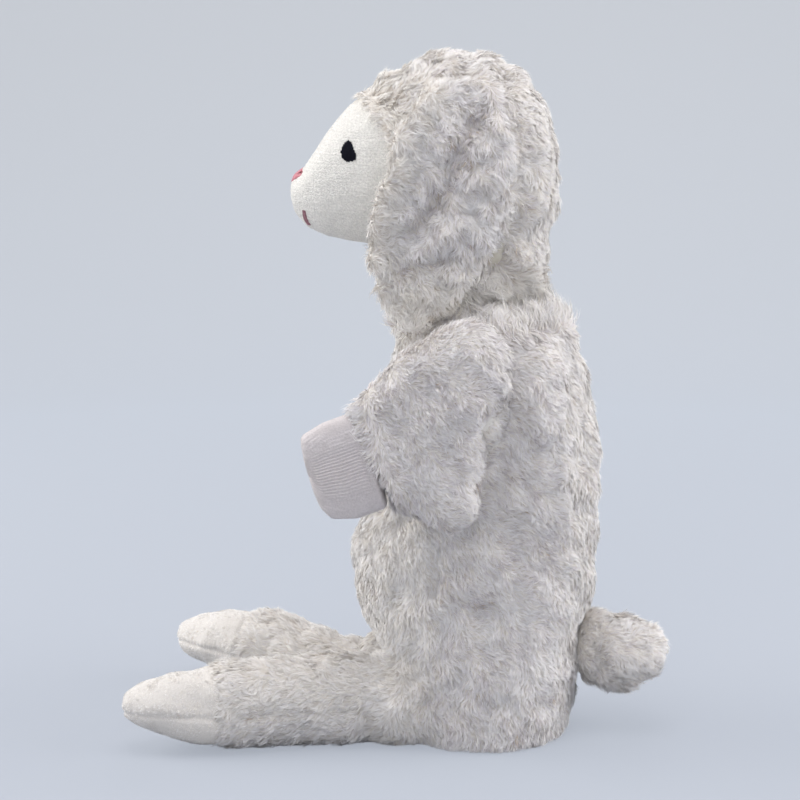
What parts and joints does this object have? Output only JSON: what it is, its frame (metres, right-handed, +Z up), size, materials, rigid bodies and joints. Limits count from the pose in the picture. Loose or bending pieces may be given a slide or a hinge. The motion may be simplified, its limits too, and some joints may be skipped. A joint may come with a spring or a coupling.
{
  "type": "sheep hand puppet",
  "caption": "Soft plush sheep glove puppet, sitting with its legs out, open below for a hand, with finger pockets in head and arms, hanging ears and a stub tail.",
  "frame": {"origin": "under the middle of the puppet's bounding box, on the surface that it sits on", "axes": "the puppet faces -Y, its left side is +X and +Z is up"},
  "size_m": [0.137, 0.224, 0.2895],
  "materials": {
    "plush": "long-pile cotton plush, off-white",
    "face_knit": "smooth fine jersey knit, warm off-white",
    "paw_knit": "ribbed knit, greyish off-white",
    "toe_velour": "short velour, off-white",
    "lining": "plain cotton jersey",
    "filling": "loose wool stuffing",
    "black_thread": "satin stitch in black thread",
    "pink_thread": "satin stitch in dusty pink thread"
  },
  "bodies": {
    "torso": {"body_front_panel": "plush", "body_back_panel": "plush", "hand_cavity_lining": "lining", "hem_facing": "lining"},
    "neck": {"neck_collar": "plush"},
    "head": {"head_hood": "plush", "forehead_strip": "face_knit", "cheek_left": "face_knit", "cheek_right": "face_knit", "head_filling": "filling", "finger_pocket_lining": "lining", "eye_left": "black_thread", "eye_right": "black_thread", "nose": "pink_thread", "mouth_left": "pink_thread", "mouth_right": "pink_thread"},
    "tail": {"tail_cover": "plush", "tail_filling": "filling"},
    "ear_left": {"ear_left_inner": "plush", "ear_left_outer": "plush"},
    "arm_left": {"arm_left_sleeve_outer": "plush", "arm_left_sleeve_inner": "plush", "arm_left_paw": "paw_knit"},
    "leg_left": {"leg_left_upper": "plush", "leg_left_sole": "plush", "toe_cap_left_upper": "toe_velour", "toe_cap_left_sole": "toe_velour", "leg_left_filling": "filling"},
    "ear_right": {"ear_right_inner": "plush", "ear_right_outer": "plush"},
    "arm_right": {"arm_right_sleeve_outer": "plush", "arm_right_sleeve_inner": "plush", "arm_right_paw": "paw_knit"},
    "leg_right": {"leg_right_upper": "plush", "leg_right_sole": "plush", "toe_cap_right_upper": "toe_velour", "toe_cap_right_sole": "toe_velour", "leg_right_filling": "filling"}
  },
  "joints": [
    {"name": "neck_turn", "type": "hinge", "parent": "torso", "child": "neck", "pos_m": [0, 0.03094, 0.178], "axis": [0, 0, 1], "range_deg": [-30, 30]},
    {"name": "head_nod", "type": "hinge", "parent": "neck", "child": "head", "pos_m": [0, 0.03094, 0.178], "axis": [1, 0, 0], "range_deg": [-12, 14]},
    {"name": "tail_flap", "type": "hinge", "parent": "torso", "child": "tail", "pos_m": [0, 0.08997, 0.0355], "axis": [1, 0, 0], "range_deg": [-20, 35]},
    {"name": "ear_left_flap", "type": "hinge", "parent": "head", "child": "ear_left", "pos_m": [0.0268, 0.02994, 0.275], "axis": [0, -1, 0], "range_deg": [0, 70]},
    {"name": "arm_left_swing", "type": "hinge", "parent": "torso", "child": "arm_left", "pos_m": [0.057, 0.03494, 0.15], "axis": [-1, 0, 0], "range_deg": [-40, 60]},
    {"name": "leg_left_swing", "type": "hinge", "parent": "torso", "child": "leg_left", "pos_m": [0.027, -0.01341, 0.0165], "axis": [-1, 0, 0], "range_deg": [-70, 35]},
    {"name": "ear_right_flap", "type": "hinge", "parent": "head", "child": "ear_right", "pos_m": [-0.0268, 0.02994, 0.275], "axis": [0, 1, 0], "range_deg": [0, 70]},
    {"name": "arm_right_swing", "type": "hinge", "parent": "torso", "child": "arm_right", "pos_m": [-0.057, 0.03494, 0.15], "axis": [-1, 0, 0], "range_deg": [-28, 72]},
    {"name": "leg_right_swing", "type": "hinge", "parent": "torso", "child": "leg_right", "pos_m": [-0.027, -0.01341, 0.0165], "axis": [-1, 0, 0], "range_deg": [-70, 35]}
  ]
}
